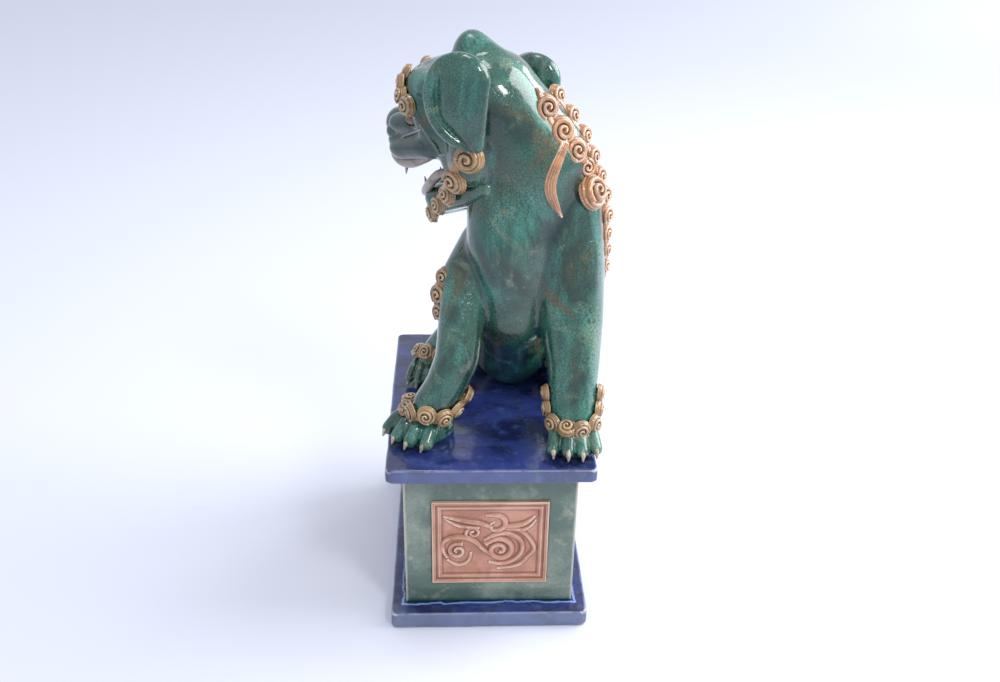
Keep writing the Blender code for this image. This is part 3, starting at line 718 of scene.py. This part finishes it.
# The head's lumps, each as (forward, left, up, half size) from the middle of the head
CROWN = ["head", (27, 0, 30, (15, 17, 20)), (2, 0, 24, (10, 15, 12))]
BROW = ["head", (60, 15, 8, (15, 14, 13)), (48, 22, 9, (14, 13, 13))]
TEMPLE = ["head", (58, 23, -3, (12, 9, 11)), (46, 24, -24, (15, 11, 13))]
FOREHEAD = ["head", (58, 0, 8, (17, 18, 17)), (38, 0, 12, (20, 24, 20))]
PAD = ["head", (77, 12, -46, (17, 13, 10)), (52, 21, -38, (16, 13, 10))]
MUZZLE = ["head", (84, 8, -27, (12, 12, 9)), (64, 13, -24, (13, 13, 10))]
CHEEK = ["head", (16, 24, -10, 20), (14, 26, -46, 17)]
JOWL = ["head", (34, 20, -22, 15), (28, 23, -50, 11)]
SKULL = [
    ["head", (14, 0, 0, (42, 42, 38)), (42, 0, 2, (28, 32, 28))],
    ["head", (42, 0, -22, (24, 28, 22)), (82, 0, -33, (13, 16, 15))],
    CROWN, FOREHEAD, BROW, mirrored(BROW), TEMPLE, mirrored(TEMPLE), PAD, mirrored(PAD),
    MUZZLE, mirrored(MUZZLE), CHEEK, mirrored(CHEEK), JOWL, mirrored(JOWL),
]
FACE = [
    ["head", (83, 9, -41, (13, 9, 10)), (77, 10, -46, (12, 9, 8))],
    ["head", (64, 15, -36, (12, 9, 10)), (60, 15, -41, (11, 9, 8))],
    ["head", (78, 13, 2, 3.6), (75, 20, -5, 3.6), (68, 25, -11, 3.2), (56, 28, -14, 2.6)],
]
SOFT_GRAIN, SOFT_ROUNDS = 1.3, 45  # the whole body, melted together and stroked smooth
FINE_GRAIN, FINE_ROUNDS = 1.4, 3  # the same skin again, once the face is on it
hide = knead(press("lion_skin", TRUNK + list(LEGS.values()) + SKULL), SOFT_GRAIN, SOFT_ROUNDS)
mouth = press("mouth", [["head", (49, 0, -63, (14, 25, 9)), (110, 0, -78, (20, 36, 18))]])
carve(hide, mouth)
SOCKET = ["head", (68, 24, -18, (7, 7, 5.5))]
sockets = press("sockets", [SOCKET, mirrored(SOCKET)])
carve(hide, sockets)
face = press("face", FACE + [mirrored(run) for run in FACE])
choose(hide, face)
bpy.ops.object.join()
knead(hide, FINE_GRAIN, FINE_ROUNDS)
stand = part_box("torso")[0].z
stand_alone()
bpy.ops.mesh.primitive_cube_add(size=0.3, location=(0, 0, stand - 0.15))
bed = bpy.context.object
carve(hide, bed)
clear_away(mouth, sockets)
mark_breaks(hide, 30, 0.5)
tan = KDTree(len(hide.data.vertices))
for vertex in hide.data.vertices:
    tan.insert(vertex.co, vertex.index)
tan.balance()
marks = [value.value for value in hide.data.attributes["break"].data]


def keep_marks(part):
    """A part cut from the skin takes its marks from the whole skin, not from the cut."""
    values = [marks[tan.find(vertex.co)[1]] for vertex in part.data.vertices]
    if "break" in part.data.attributes:
        part.data.attributes.remove(part.data.attributes["break"])
    part.data.attributes.new("break", "FLOAT", "POINT").data.foreach_set("value", values)


teal = crackled_teal("teal_glaze")
teal_thin = crackled_teal("teal_glaze_thin", 0.75)


def grown(run, extra):
    """A run of lumps made larger all round, to cut out what the run pressed in."""
    wider = []
    for lump in run:
        if lump == "head":
            wider.append(lump)
        else:
            size = lump[3] if isinstance(lump[3], tuple) else (lump[3],) * 3
            wider.append((*lump[:3], tuple(value + extra for value in size)))
    return wider


def part_glazed(part, node):
    """A part cut from the skin, without crumbs, marked, smoothed and glazed."""
    part = tidy_bits(part)
    keep_marks(part)
    polish(part)
    dress(part, teal, "teal_glaze", node)
    return part


whole = twin(hide, "whole_skin")
cuts = {limb + "_leg": knead(press("cut", [grown(run[1:], 7)]), 3, 2) for limb, run in LEGS.items()}
cuts["crown_bump"] = press("cut", [grown(CROWN, 4)])
stand_alone()
bpy.ops.mesh.primitive_cube_add(
    size=0.2, location=on_head(20, 0, 72) * 0.001, rotation=(0, math.radians(-14), 0)
)
cuts["head"] = bpy.context.object
parts = {}
for node, cutter in cuts.items():
    part = twin(hide, node + "_glazed")
    carve(part, cutter, "INTERSECT")
    parts[node] = part_glazed(part, node)
    carve(hide, cutter)
head = parts["head"]
part_glazed(label(hide, "torso_glazed"), "torso")
clear_away(*cuts.values())

# -------------------------------------------------------- paws and claws
# Each paw is a pad of clay with four coils laid forward as toes, pinched into knuckles.
# The fore toes carry separate hooked claws of pale clay; the hind claws are part of the paw.


def paw(key, x, y, heading, length, width):
    """A paw on the slab, its heading in degrees round from the front to the lion's right."""
    ahead = Vector((-math.sin(math.radians(heading)), -math.cos(math.radians(heading)), 0))
    across = Vector((-ahead.y, ahead.x, 0))
    middle = Vector((x, y, stand * 1000))
    heel = middle - ahead * length * 0.16
    runs = [
        [(heel.x, heel.y, heel.z + 10, (width * 0.46, width * 0.46, 15))],
        [(heel.x, heel.y, heel.z + 4, (width * 0.45, width * 0.45, 8)),
         (middle.x, middle.y, heel.z + 3, width * 0.33)],
    ]
    for toe in range(4):
        side = (toe - 1.5) / 1.5
        reach = length * (0.5 - 0.09 * side * side)
        root = middle + ahead * (reach - 28) + across * side * width * 0.25
        knuckle = middle + ahead * (reach - 15) + across * side * width * 0.34
        tip = middle + ahead * (reach - 7) + across * side * width * 0.38
        runs.append([
            (root.x, root.y, root.z + 19, width * 0.10),
            (knuckle.x, knuckle.y, knuckle.z + 13.5, width * 0.118),
            (tip.x, tip.y, tip.z + 7, width * 0.115),
        ])
        if key.endswith("hind"):
            nail = tip + ahead * (width * 0.12 + 2)
            runs.append([(tip.x, tip.y, tip.z + 7, 2.6), (nail.x, nail.y, nail.z + 4.5, 1.4)])
    piece = knead(press(key + "_paw_glazed", runs), 0.9, 4)
    carve(piece, bed)
    fire(piece, 14, 0.55, teal_thin, "teal_glaze", key + "_paw")


paw("right_fore", -58.5, -64, 38, 54, 52)
paw("left_fore", 67, -84, 0, 48, 46)
paw("right_hind", -54, 27, 14, 50, 34)
paw("left_hind", 71, 8, 6, 48, 32)
clear_away(bed)


def bare_clay(name, pale, brown, scale):
    """Pale clay under a thin clear glaze, stained brown in its hollows."""
    glaze = Glaze(name, 0.18, 0.5)
    stain = glaze.band(glaze.noise(scale, 5.0, 0.65, 1.0), 0.46, 0.64)
    streak = glaze.noise(scale * 2.4, 4.0, 0.6, 0.3, (1, 1, 0.4))
    body = glaze.blend(pale, brown, stain * (0.25 + 0.6 * streak))
    dark = tuple(value * 0.35 for value in brown)
    hollow = glaze.blend(body, dark, (1 - glaze.ridges(0.15, 0.48)) * 0.8)
    lit = glaze.blend(hollow, (0.70, 0.66, 0.60), glaze.ridges(0.60, 0.95) * 0.6)
    glaze.feed("Base Color", lit)
    glaze.feed("Roughness", 0.10 + 0.18 * streak)
    glaze.relief(streak, 0.0004)
    return glaze.material


horn = bare_clay("claw_glaze", (0.42, 0.36, 0.26), (0.11, 0.09, 0.05), 240.0)
for side in ("right", "left"):
    for number in range(1, 5):
        node = f"{side}_fore_claw_{number}"
        claw = copy_of(node, node + "_glazed")
        knead(claw, 0.35, 4)
        fire(claw, 10, 0.2, horn, "cream_glaze", node, 60)

# -------------------------------------------------------- jaw, nose and lips
# The open mouth: a lower jaw joined on at the back, a bulbous nose with two nostrils,
# and a coil of pale clay bent round the mouth as each lip, all stuck on with slip.


JAW = ["head", (4, 24, -62, (11, 9, 8)), (18, 21, -70, (10, 9, 10)), (50, 7, -84, (14, 12, 12))]
CHIN = ["head", (10, 0, -74, (14, 22, 9)), (54, 0, -92, (12, 13, 9))]
jaw = knead(press("lower_jaw_glazed", [JAW, mirrored(JAW), CHIN]), 1.0, 5)
fire(jaw, 16, 0.5, teal_thin, "teal_glaze", "lower_jaw")

WING = ["head", (89, 10, -34, (8, 7, 7)), (80, 12, -31, (7, 6, 6))]
nose = knead(press("nose_glazed", [
    ["head", (90, 0, -30, (12, 13, 13)), (80, 0, -21, (9, 10, 8))], WING, mirrored(WING),
]), 0.8, 4)
NOSTRIL = ["head", (101, 6.5, -38, (6, 3, 4))]
nostrils = press("nostrils", [NOSTRIL, mirrored(NOSTRIL)])
carve(nose, nostrils)
clear_away(nostrils)
knead(nose, 0.8, 1)
fire(nose, 16, 0.5, teal_thin, "teal_glaze", "nose")

UPPER_LIP = ((28, 30, -54, 2.6), (32, 29, -47, 3.6), (38, 27, -41, 3.8), (46, 25, -41, 4.0),
             (57, 22, -48, 4.4), (72, 17, -56, 4.8), (84, 13, -56, 4.8), (93, 6, -52.5, 4.4))
LOWER_LIP = ((29, 30, -53, 2.6), (35, 28, -54, 3.4), (44, 24, -58, 3.8), (54, 18, -69, 4),
             (62, 11, -78, 4), (66, 4, -83, 4))
lip_glaze = bare_clay("lip_glaze", (0.31, 0.27, 0.235), (0.12, 0.085, 0.055), 70.0)
for node, line in (("upper_lip", UPPER_LIP), ("lower_lip", LOWER_LIP)):
    bend = line + tuple((forward, -left, up, half) for forward, left, up, half in reversed(line))
    lip = roll(node + "_glazed", [(on_head(*spot[:3]), spot[3]) for spot in bend])
    knead(lip, 0.7, 3)
    fire(lip, 14, 0.4, lip_glaze, "cream_glaze", node, 60)

# -------------------------------------------------------- face ridges
# Thin coils drawn over each side of the face before the glaze: two outline the swollen
# pads under the nose, one runs from the eye to the corner of the mouth and one over the
# brow. Each is laid on the head, as (forward, left, up, half thickness).
RIDGES = (
    ((54, 25, -17, 1.0), (66, 18, -21, 1.6), (80, 13, -30, 1.8), (90, 9, -39, 1.7),
     (92, 9, -49, 1.2)),
    ((50, 25, -21, 1.0), (65, 20, -28, 1.6), (76, 15, -37, 1.7), (81, 13, -45, 1.6),
     (76, 15, -51, 1.2)),
    ((52, 26, -18, 1.2), (43, 29, -28, 1.9), (37, 31, -41, 2.0), (32, 32, -52, 1.8),
     (27, 31, -60, 1.2)),
    ((74, 8, 28, 0.8), (76, 14, 20, 1.4), (76, 20, 5, 1.6), (69, 26, -8, 1.6),
     (57, 30, -14, 1.2)),
)
coils = []
for line in RIDGES:
    for hand in (1, -1):
        beads = []
        for forward, left, up, half in line:
            _, spot, facing, _ = head.closest_point_on_mesh(
                on_head(forward, hand * left, up) * 0.001
            )
            beads.append((spot * 1000 + facing * half * 0.15, 0.85 * half))
        coils.append(roll("ridge", beads))
ridges = gather("face_ridges", coils)
knead(ridges, 0.45, 2)
mark_breaks(ridges, 14, 0.22)
polish(ridges, 60)
ridges.data.materials.clear()
ridges.data.materials.append(teal_thin)
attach(ridges, "root")

# -------------------------------------------------------- fangs and eyes
# Four small pointed fangs of pale clay, let into the lips, and two bulging eyes pressed
# into the sockets, brushed with a dark iron brown.
for side in ("left", "right"):
    for jaw_half in ("upper", "lower"):
        node = f"{jaw_half}_{side}_fang"
        fang = copy_of(node, node + "_glazed")
        knead(fang, 0.35, 3)
        fire(fang, 10, 0.2, horn, "cream_glaze", node, 60)


def eye_glaze(side, centre):
    """Iron brown, near black over the pupil and ginger round it."""
    glaze = Glaze(side + "_eye_glaze", 0.08, 1.0)
    apart = glaze.apart(centre)
    smear = glaze.noise(260.0, 4.0, 0.6)
    ring = glaze.band(apart + 0.0014 * smear, 0.0026, 0.0046)
    iris = glaze.blend((0.010, 0.006, 0.004), (0.17, 0.070, 0.025), ring)
    glaze.feed(
        "Base Color", glaze.blend(iris, (0.05, 0.05, 0.03), glaze.band(smear, 0.5, 0.7) * 0.5)
    )
    glaze.feed("Roughness", 0.06 + 0.1 * smear)
    return glaze.material


for side, hand in (("left", 1), ("right", -1)):
    eye = knead(press(side + "_eye_glazed", [
        ["head", (66, 21 * hand, -18, (6, 6, 5.5))],
        ["head", (68.5, 23.5 * hand, -18.5, (3.2, 3.2, 3.0))],
    ]), 0.45, 3)
    polish(eye, 60)
    dress(eye, eye_glaze(side, on_head(72, 27 * hand, -19) * 0.001), "brown_glaze", side + "_eye")

# -------------------------------------------------------- ears
# Two hanging ears, each a thick teardrop of clay with a coil laid along its front edge
# and a groove drawn behind the coil. They are luted to the sides of the head.


def ear(side, hand, back=0.0, drop=0.0):
    """An ear on one hand of the head, set back and dropped by millimetres."""

    def moved(lumps):
        return ["head"] + [(f - back, hand * left, up - drop, size) for f, left, up, size in lumps]

    leaf = moved([(9, 50, 25, (22, 11, 20)), (8, 52, 5, (20, 10, 18)), (-3, 50, -20, (6, 5, 7))])
    piece = knead(press(side + "_ear_glazed", [leaf]), 0.9, 10)
    rim = moved([(12, 51, 42, 3), (20, 54, 39, 4.6), (28, 56, 31, 5.0), (32, 57, 17, 5.2),
                 (30.5, 57, 1, 5.0), (23, 57, -11, 4.6), (13, 55, -19, 4), (2, 51, -25, 3)])
    coil = roll("rim", [(on_head(*spot[:3]), spot[3]) for spot in rim[1:]])
    piece = gather(side + "_ear_glazed", [piece, coil])
    knead(piece, 0.8, 2)
    fire(piece, 18, 0.6, teal_thin, "teal_glaze", side + "_ear")


ear("left", 1)
ear("right", -1, 12, 19)

# -------------------------------------------------------- curls
# Locks of hair are thin coils of clay wound into snails, each drawn out along a vine
# that runs on to the next, and pressed on the wet skin. One snail is made and copied.
stand_alone()
turns = []
for step in range(30):
    share = step / 29
    angle = share * math.tau * 1.85
    reach = 0.05 + 0.74 * share ** 0.9
    spot = (1000 * reach * math.cos(angle), 1000 * reach * math.sin(angle), 580 - 260 * share)
    turns.append((spot, 95 + 95 * share))
snail = [roll("snail", turns)]
for reach, height, half in ((0.80, 0.20, 0.12), (0.90, 0.05, 0.12), (0.95, -0.12, 0.12)):
    bpy.ops.object.select_all(action="DESELECT")
    bpy.ops.mesh.primitive_torus_add(
        major_segments=32, minor_segments=8, major_radius=reach, minor_radius=half,
        location=(0, 0, height),
    )
    snail.append(bpy.context.object)
bpy.ops.object.select_all(action="DESELECT")
bpy.ops.mesh.primitive_uv_sphere_add(segments=32, ring_count=12, radius=1, scale=(0.90, 0.90, 0.36))
snail.append(bpy.context.object)
snail = gather("snail", snail)
bpy.ops.object.transform_apply()


VINE_SHARE = 0.46  # how thick the vine is, against the snail beside it


def near_skin(place):
    """The closest point of the lion's skin to a place in millimetres, and the way it faces."""
    best = None
    for part in coats:
        found, spot, facing, _ = part.closest_point_on_mesh(Vector(place) * 0.001)
        if found and (best is None or (spot - Vector(place) * 0.001).length < best[2]):
            best = (spot, facing, (spot - Vector(place) * 0.001).length)
    return best[0] * 1000, best[1]


def lock(name, places, glaze, slot, node, lift, lead=(), tail=(), swell=1.08, looks=None):
    """A line of snails in millimetres, the last value of each being its radius, with the
    vine that joins them, begins with the lead and runs out along the tail. Looks gives
    the way that each snail faces, where that isn't straight out of the skin."""
    pieces = []
    beads = []
    for x, y, z, half in lead:
        spot, facing = near_skin((x, y, z))
        beads.append((spot + facing * half * 0.3, half))
    for number, (x, y, z, radius) in enumerate(places):
        radius *= swell
        spot, facing = near_skin((x, y, z))
        if looks:
            facing = (looks[number] + 0.35 * facing).normalized()
            spot = spot * 0.5 + Vector((x, y, z)) * 0.5
        spot = spot + facing * radius * lift
        following = places[number + 1] if number + 1 < len(places) else places[number - 1]
        way = Vector(following[:3]) - Vector((x, y, z))
        if len(places) == 1:
            way = Vector((0, 0, -1))
        way = (way - facing * way.dot(facing)).normalized()
        across = facing.cross(way)
        twist = Matrix((way, across, facing)).transposed().to_4x4()
        copy = twin(snail, "snail")
        size = Matrix.Scale(radius * 0.001, 4)
        copy.matrix_world = Matrix.Translation(spot * 0.001) @ twist @ size
        pieces.append(copy)
        beads.append((spot - across * radius * 0.45 - facing * radius * 0.05, radius * VINE_SHARE))
    for x, y, z, half in tail:
        spot, facing = near_skin((x, y, z))
        beads.append((spot + facing * half * 0.3, half))
    if len(beads) > 1:
        pieces.append(roll("vine", beads))
    made = gather(name, pieces)
    bpy.ops.object.transform_apply()
    knead(made, 0.42, 1)
    mark_breaks(made, 12, 0.17)
    finish_modifier(made, "DECIMATE", ratio=0.55)
    polish(made, 60)
    dress(made, glaze, slot, node)


def honey_glaze(name, body, dark, pale):
    """A runny amber glaze: pale where it breaks over the coils and dark where it pools."""
    glaze = Glaze(name, 0.12, 0.7)
    cloud = glaze.noise(45.0, 4.0, 0.6, 0.8)
    fleck = glaze.noise(300.0, 4.0, 0.65)
    warm = glaze.blend(tuple(0.62 * value for value in body), body, glaze.band(cloud, 0.38, 0.62))
    pooled = glaze.blend(warm, dark, (1 - glaze.ridges(0.15, 0.50)) * 0.95)
    broken = glaze.blend(pooled, pale, glaze.ridges(0.58, 0.90) * (0.45 + 0.6 * cloud))
    glaze.feed("Base Color", glaze.blend(broken, dark, glaze.band(fleck, 0.60, 0.75) * 0.35))
    glaze.feed("Roughness", 0.08 + 0.16 * fleck)
    glaze.relief(fleck, 0.0003)
    return glaze.material


amber = honey_glaze("ochre_glaze", (0.34, 0.185, 0.060), (0.040, 0.020, 0.008), (0.66, 0.52, 0.34))
orange = honey_glaze(
    "orange_glaze", (0.45, 0.195, 0.070), (0.065, 0.034, 0.014), (0.90, 0.72, 0.53)
)

BROW_CURLS = ((75, 15, 16, 6.5), (78, 20, 8, 7.5), (74, 25, 1, 7.5), (66, 30, -6, 8.5))
BROW_LOOKS = ((0.75, 0.5, 0.4), (0.8, 0.6, 0.1), (0.8, 0.6, 0), (0.35, 0.95, 0))
CHEEK_CURLS = ((6, 44, -34, 11.5), (21, 37, -55, 10.5), (33, 31, -71, 8.5), (43, 25, -84, 8),
               (54, 15, -96, 8))
CHEEK_LOOKS = ((0.1, 1, 0), (0.25, 0.95, 0), (0.5, 0.85, 0.1), (0.65, 0.75, 0.1), (0.8, 0.6, 0))
coats = [whole, jaw]  # what the curls in hand are pressed on
for side, hand in (("left", 1), ("right", -1)):
    for name, line, ways in (("brow", BROW_CURLS, BROW_LOOKS), ("cheek", CHEEK_CURLS, CHEEK_LOOKS)):
        places = [(*on_head(f, hand * left, up), radius) for f, left, up, radius in line]
        looks = [(HEAD_AXES @ Vector((f, hand * left, up))).normalized() for f, left, up in ways]
        node = f"{side}_{name}_curls"
        lock(node + "_glazed", places, amber, "ochre_glaze", node, 0.12, swell=1.0, looks=looks)

coats = [whole]
MANE = {
    "mane_neck_curls": (
        (35, -30, 428, 11), (47, -30, 411, 11.5), (58, -29, 396, 10.5), (68, -25, 382, 8.5),
    ),
    "mane_side_curls": (
        (48, -2, 431, 9), (58, -7, 416, 9), (67, -10, 401, 9), (76, -11, 386, 9),
        (83, -10, 370, 9), (88, -10, 354, 9), (91, -12, 338, 9), (92, -13, 323, 8.5),
        (93, -14, 309, 8), (93, -16, 296, 7),
    ),
    "mane_shoulder_curl": ((72, -28, 362, 14),),
    "mane_back_curls": (
        (46, 30, 412, 9), (50, 36, 396, 9), (52, 40, 379, 9), (52, 42, 362, 9), (50, 44, 345, 9),
        (47, 46, 328, 8.5), (44, 48, 312, 8),
    ),
    "mane_far_curls": (
        (24, 32, 428, 8), (18, 36, 412, 9), (15, 38, 395, 9), (13, 39, 378, 9), (12, 40, 361, 9),
    ),
}
LEADS = {
    "mane_neck_curls": ((28, -30, 443, 1.2), (31, -31, 438, 3.0)),
    "mane_back_curls": ((40, 22, 428, 1.2), (43, 26, 421, 3.0)),
    "mane_far_curls": ((28, 28, 442, 1.2), (26, 31, 435, 3.0)),
}
TAILS = {
    "mane_side_curls": ((92, -17, 280, 4.2), (92, -21, 266, 3.2), (91, -24, 250, 0.9)),
    "mane_back_curls": ((41, 50, 298, 4.0), (38, 52, 284, 3.2), (36, 55, 270, 0.9)),
    "mane_far_curls": ((8, 42, 346, 4.0), (4, 43, 334, 3.2), (3, 45, 322, 0.9)),
}
MANE_LOOKS = {"mane_side_curls": (0.8, -0.7, 0.15), "mane_neck_curls": (0.35, -0.9, 0.25)}
for node, places in MANE.items():
    ends = {"lead": LEADS.get(node, ()), "tail": TAILS.get(node, ())}
    looks = [Vector(MANE_LOOKS[node])] * len(places) if node in MANE_LOOKS else None
    lock(
        node + "_glazed", places, orange, "orange_glaze", node, 0.16, swell=1.0, looks=looks, **ends
    )

STRAND = ((50, -36, 404, 3.4), (45, -46, 392, 4.2), (41, -50, 377, 4.6), (45, -48, 363, 3.7),
          (52, -44, 350, 1.0))
threads = []
for share in (-0.8, -0.4, 0.0, 0.4, 0.8):
    line = []
    for number, (x, y, z, half) in enumerate(STRAND):
        spot, facing = near_skin((x, y, z))
        before = Vector(STRAND[max(0, number - 1)][:3])
        after = Vector(STRAND[min(len(STRAND) - 1, number + 1)][:3])
        across = facing.cross((after - before).normalized()).normalized()
        lift = facing * (1.6 - 1.4 * share * share)
        line.append((spot + across * half * share * 0.9 + lift, half * 0.34))
    threads.append(roll("thread", line))
strand = gather("mane_strand_glazed", threads)
knead(strand, 0.45, 1)
fire(strand, 10, 0.13, orange, "orange_glaze", "mane_strand", 60)

feet = {key: bpy.data.objects[key + "_paw_glazed"] for key in LEGS}
ANKLES = {
    "right_fore": (
        (-66, -50, 189, 6), (-68, -60, 187, 6.5), (-62, -70, 190, 6.5), (-51, -78, 193, 6.5),
        (-39, -77, 190, 6.5), (-30, -70, 194, 6.5), (-24, -62, 203, 6.5),
    ),
    "left_fore": (
        (49, -64, 204, 6), (48, -70, 193, 6), (51, -82, 186, 6.5), (61, -89, 185, 6.5),
        (72, -89, 185, 6.5), (83, -83, 186, 6.5), (86, -73, 194, 6), (86, -66, 205, 6),
    ),
    "right_hind": ((-63, 44, 184, 5.5), (-60, 33, 189, 6), (-52, 27, 191, 6), (-42, 26, 191, 6)),
    "left_hind": ((58, 12, 190, 5.5), (65, 7, 189, 6), (75, 7, 189, 6), (83, 14, 189, 5.5)),
}
for key, places in ANKLES.items():
    coats = [whole, feet[key]]
    node = key + "_ankle_curls"
    lock(node + "_glazed", places, amber, "ochre_glaze", node, 0.30, swell=1.22)

ELBOWS = {
    "right": (
        (-31, -28, 290, 8.5), (-36, -31, 277, 10), (-36, -37, 264, 8.5), (-33, -42, 254, 6.5),
    ),
    "left": ((82, -10, 276, 7), (84, -16, 264, 8), (85, -23, 251, 7), (85, -31, 239, 6)),
}
ELBOW_LOOKS = {"right": Vector((-0.6, -0.8, 0.1)), "left": Vector((0.8, 0.5, 0))}
coats = [whole]
for side, places in ELBOWS.items():
    looks = [ELBOW_LOOKS[side]] * len(places)
    node = side + "_elbow_curls"
    lock(node + "_glazed", places, amber, "ochre_glaze", node, 0.15, looks=looks)

# -------------------------------------------------------- tail
# A flame-shaped tail of clay that stands up against the back, with a line of snails
# down its middle.
TAIL = [(31, 98, 184, (13, 11, 14)), (33, 101, 212, (15, 10, 16)), (36, 90, 240, (17, 10, 18)),
        (38, 72, 268, (12, 9, 15)), (40, 56, 290, (5, 6, 8))]
tail = knead(press("tail_glazed", [TAIL]), 1.1, 6)
fire(tail, 16, 0.5, teal_thin, "teal_glaze", "tail")
coats = [tail]
TAIL_CURLS = ((14, 104, 196, 7), (17, 107, 209, 8), (20, 104, 223, 8), (23, 98, 237, 8),
              (26, 88, 250, 7))
lock("tail_curls_glazed", TAIL_CURLS, amber, "ochre_glaze", "tail_curls", 0.15)
clear_away(snail, whole)
